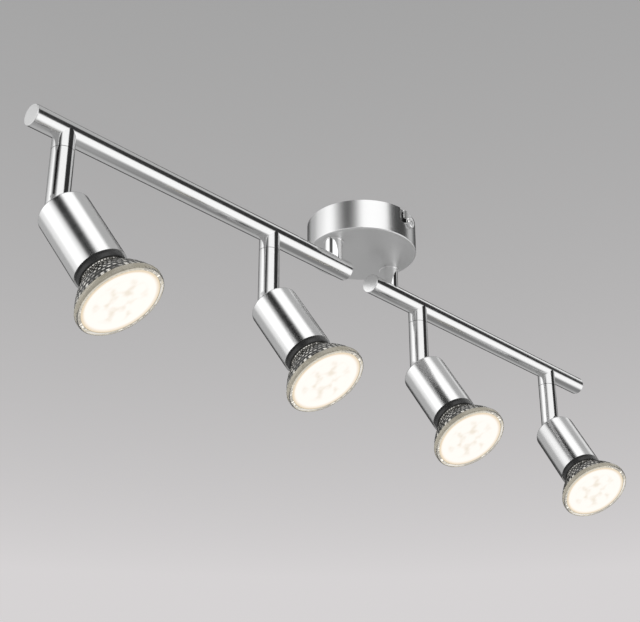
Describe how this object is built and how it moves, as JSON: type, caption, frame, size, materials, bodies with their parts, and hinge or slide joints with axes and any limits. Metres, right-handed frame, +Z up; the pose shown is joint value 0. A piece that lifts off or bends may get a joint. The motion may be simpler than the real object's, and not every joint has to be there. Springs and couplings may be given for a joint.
{
  "type": "ceiling spotlight bar",
  "caption": "Ceiling spot bar: round canopy, swinging tube arms on short studs, swivelling posts and tilting sleeve heads with twist-lock reflector lamps.",
  "frame": {"origin": "canopy axis in the ceiling plane, at the centre of the two fixing holes of the mounting strap", "axes": "+Z up into the ceiling, +X along the bars at rest, -Y the side that the heads point to at rest"},
  "size_m": [0.5324, 0.1016, 0.1647],
  "materials": {
    "satin_nickel": "satin nickel plate with a fine drawn grain",
    "polished_chrome": "bright polished chrome plate",
    "zinc_steel": "zinc plated pressed steel",
    "nut_brass": "turned brass",
    "nylon_washer": "natural nylon",
    "white_plastic": "moulded white plastic",
    "lead_sheath": "heat resistant pale sheath",
    "black_plastic": "moulded black plastic",
    "white_ceramic": "unglazed white ceramic",
    "pressed_glass": "clear pressed glass with dimpled facets",
    "lit_lens": "clear cover glass, lit warm white from behind",
    "led_board": "white board with warm white light sources"
  },
  "bodies": {
    "base": {"mounting_strap": "zinc_steel", "canopy_cup": "satin_nickel", "canopy_screws": "polished_chrome", "terminal_block": "white_plastic", "terminal_screws": "nut_brass", "canopy_leads": "lead_sheath"},
    "arm_left": {"left_stud": "polished_chrome", "left_stud_washer": "nylon_washer", "left_stud_nut": "nut_brass", "left_bar": "satin_nickel", "left_bar_caps": "satin_nickel", "left_collars": "polished_chrome", "left_lead": "lead_sheath"},
    "arm_right": {"right_stud": "polished_chrome", "right_stud_washer": "nylon_washer", "right_stud_nut": "nut_brass", "right_bar": "satin_nickel", "right_bar_caps": "satin_nickel", "right_collars": "polished_chrome", "right_lead": "lead_sheath"},
    "swivel_1": {"post_1": "polished_chrome", "pivot_pin_1": "polished_chrome"},
    "head_1": {"hinge_lug_1": "zinc_steel", "sleeve_1": "satin_nickel", "lampholder_1": "white_ceramic", "holder_ring_1": "black_plastic"},
    "lamp_1": {"bulb_base_1": "white_ceramic", "bulb_glass_1": "pressed_glass", "led_board_1": "led_board", "bulb_lens_1": "lit_lens"},
    "swivel_2": {"post_2": "polished_chrome", "pivot_pin_2": "polished_chrome"},
    "head_2": {"hinge_lug_2": "zinc_steel", "sleeve_2": "satin_nickel", "lampholder_2": "white_ceramic", "holder_ring_2": "black_plastic"},
    "lamp_2": {"bulb_base_2": "white_ceramic", "bulb_glass_2": "pressed_glass", "led_board_2": "led_board", "bulb_lens_2": "lit_lens"},
    "swivel_3": {"post_3": "polished_chrome", "pivot_pin_3": "polished_chrome"},
    "head_3": {"hinge_lug_3": "zinc_steel", "sleeve_3": "satin_nickel", "lampholder_3": "white_ceramic", "holder_ring_3": "black_plastic"},
    "lamp_3": {"bulb_base_3": "white_ceramic", "bulb_glass_3": "pressed_glass", "led_board_3": "led_board", "bulb_lens_3": "lit_lens"},
    "swivel_4": {"post_4": "polished_chrome", "pivot_pin_4": "polished_chrome"},
    "head_4": {"hinge_lug_4": "zinc_steel", "sleeve_4": "satin_nickel", "lampholder_4": "white_ceramic", "holder_ring_4": "black_plastic"},
    "lamp_4": {"bulb_base_4": "white_ceramic", "bulb_glass_4": "pressed_glass", "led_board_4": "led_board", "bulb_lens_4": "lit_lens"}
  },
  "joints": [
    {"name": "arm_left_swing", "type": "hinge", "parent": "base", "child": "arm_left", "pos_m": [-0.0285, 0, -0.022], "axis": [0, 0, 1], "range_deg": [-75, 75]},
    {"name": "arm_right_swing", "type": "hinge", "parent": "base", "child": "arm_right", "pos_m": [0.0285, 0, -0.022], "axis": [0, 0, 1], "range_deg": [-75, 75]},
    {"name": "post_1_swivel", "type": "hinge", "parent": "arm_left", "child": "swivel_1", "pos_m": [-0.2477, 0, -0.054], "axis": [0, 0, 1], "range_deg": [-165, 165]},
    {"name": "head_1_tilt", "type": "hinge", "parent": "swivel_1", "child": "head_1", "pos_m": [-0.2477, 0, -0.0866], "axis": [-0.866, -0.5, 0], "range_deg": [-32.5, 57.5]},
    {"name": "lamp_1_twist", "type": "hinge", "parent": "head_1", "child": "lamp_1", "pos_m": [-0.2477, 0, -0.0866], "axis": [0.2687, -0.4653, -0.8434], "range_deg": [0, 30]},
    {"name": "post_2_swivel", "type": "hinge", "parent": "arm_left", "child": "swivel_2", "pos_m": [-0.0882, 0, -0.054], "axis": [0, 0, 1], "range_deg": [-165, 165]},
    {"name": "head_2_tilt", "type": "hinge", "parent": "swivel_2", "child": "head_2", "pos_m": [-0.0882, 0, -0.0866], "axis": [-0.9703, -0.2419, 0], "range_deg": [-32.5, 57.5]},
    {"name": "lamp_2_twist", "type": "hinge", "parent": "head_2", "child": "lamp_2", "pos_m": [-0.0882, 0, -0.0866], "axis": [0.13, -0.5213, -0.8434], "range_deg": [0, 30]},
    {"name": "post_3_swivel", "type": "hinge", "parent": "arm_right", "child": "swivel_3", "pos_m": [0.0592, 0, -0.054], "axis": [0, 0, 1], "range_deg": [-165, 165]},
    {"name": "head_3_tilt", "type": "hinge", "parent": "swivel_3", "child": "head_3", "pos_m": [0.0592, 0, -0.0866], "axis": [-0.9994, 0.0349, 0], "range_deg": [-32.5, 57.5]},
    {"name": "lamp_3_twist", "type": "hinge", "parent": "head_3", "child": "lamp_3", "pos_m": [0.0592, 0, -0.0866], "axis": [-0.0188, -0.537, -0.8434], "range_deg": [0, 30]},
    {"name": "post_4_swivel", "type": "hinge", "parent": "arm_right", "child": "swivel_4", "pos_m": [0.2187, 0, -0.054], "axis": [0, 0, 1], "range_deg": [-165, 165]},
    {"name": "head_4_tilt", "type": "hinge", "parent": "swivel_4", "child": "head_4", "pos_m": [0.2187, 0, -0.0866], "axis": [-0.9703, 0.2419, 0], "range_deg": [-32.5, 57.5]},
    {"name": "lamp_4_twist", "type": "hinge", "parent": "head_4", "child": "lamp_4", "pos_m": [0.2187, 0, -0.0866], "axis": [-0.13, -0.5213, -0.8434], "range_deg": [0, 30]}
  ]
}
